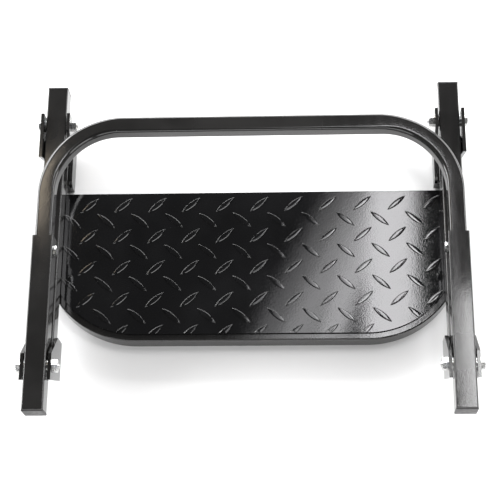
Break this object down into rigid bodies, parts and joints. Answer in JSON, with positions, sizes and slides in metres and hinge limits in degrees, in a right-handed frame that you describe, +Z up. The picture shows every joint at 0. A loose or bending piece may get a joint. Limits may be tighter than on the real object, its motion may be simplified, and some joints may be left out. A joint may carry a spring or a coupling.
{
  "type": "tailgate step",
  "caption": "Folding drop-down step for a pickup tailgate: U-shaped base frame, two swinging arms and a U-shaped step frame with a diamond tread plate, folded flat.",
  "frame": {"origin": "middle of the folded step's footprint, on the surface that it lies on", "axes": "+Z up off the floor, +Y along the arms towards the base frame's closed end, +X across the step to its right-hand arm"},
  "size_m": [0.679, 0.5396, 0.1181],
  "materials": {
    "black_coat": "gloss black powder coat with fine orange peel",
    "tread_coat": "gloss black powder coat over diamond tread plate",
    "zinc": "bright zinc plating",
    "bush_steel": "plain turned steel",
    "cap_plastic": "black moulded plastic"
  },
  "bodies": {
    "step_frame": {"step_bolt_left": "zinc", "step_bolt_right": "zinc", "step_nut_left": "zinc", "step_nut_right": "zinc", "step_plate_inner_left": "black_coat", "step_plate_inner_right": "black_coat", "step_plate_outer_left": "black_coat", "step_plate_outer_right": "black_coat", "step_tube": "black_coat", "step_washer_inner_left": "zinc", "step_washer_inner_right": "zinc", "step_washer_outer_left": "zinc", "step_washer_outer_right": "zinc", "tread_plate": "tread_coat"},
    "arm_left_body": {"arm_cap_left": "cap_plastic", "arm_left": "black_coat", "main_bolt_left": "zinc", "main_nut_left": "zinc", "main_plate_inner_left": "black_coat", "main_plate_outer_left": "black_coat", "main_washer_inner_left": "zinc", "main_washer_outer_left": "zinc", "step_bush_left": "bush_steel"},
    "arm_right_body": {"arm_cap_right": "cap_plastic", "arm_right": "black_coat", "main_bolt_right": "zinc", "main_nut_right": "zinc", "main_plate_inner_right": "black_coat", "main_plate_outer_right": "black_coat", "main_washer_inner_right": "zinc", "main_washer_outer_right": "zinc", "step_bush_right": "bush_steel"},
    "base_frame": {"loop_screw_left": "zinc", "loop_screw_right": "zinc", "loop_tube": "black_coat", "main_bush_left": "bush_steel", "main_bush_right": "bush_steel", "sleeve_cap_left": "cap_plastic", "sleeve_cap_right": "cap_plastic", "sleeve_left": "black_coat", "sleeve_right": "black_coat"}
  },
  "joints": [
    {"name": "step_fold_left", "type": "hinge", "parent": "step_frame", "child": "arm_left_body", "pos_m": [-0.30988, 0.2095, 0.05362], "axis": [-1, 0, 0], "range_deg": [0, 90]},
    {"name": "step_fold_right", "type": "hinge", "parent": "step_frame", "child": "arm_right_body", "pos_m": [0.30988, 0.2095, 0.05362], "axis": [-1, 0, 0], "range_deg": [0, 90]},
    {"name": "arm_fold", "type": "hinge", "parent": "arm_left_body", "child": "base_frame", "pos_m": [-0.30988, -0.1995, 0.10187], "axis": [1, 0, 0], "range_deg": [0, 90]}
  ],
  "couplings": [
    {"joint": "step_fold_right", "follows": "step_fold_left", "ratio": 1}
  ]
}
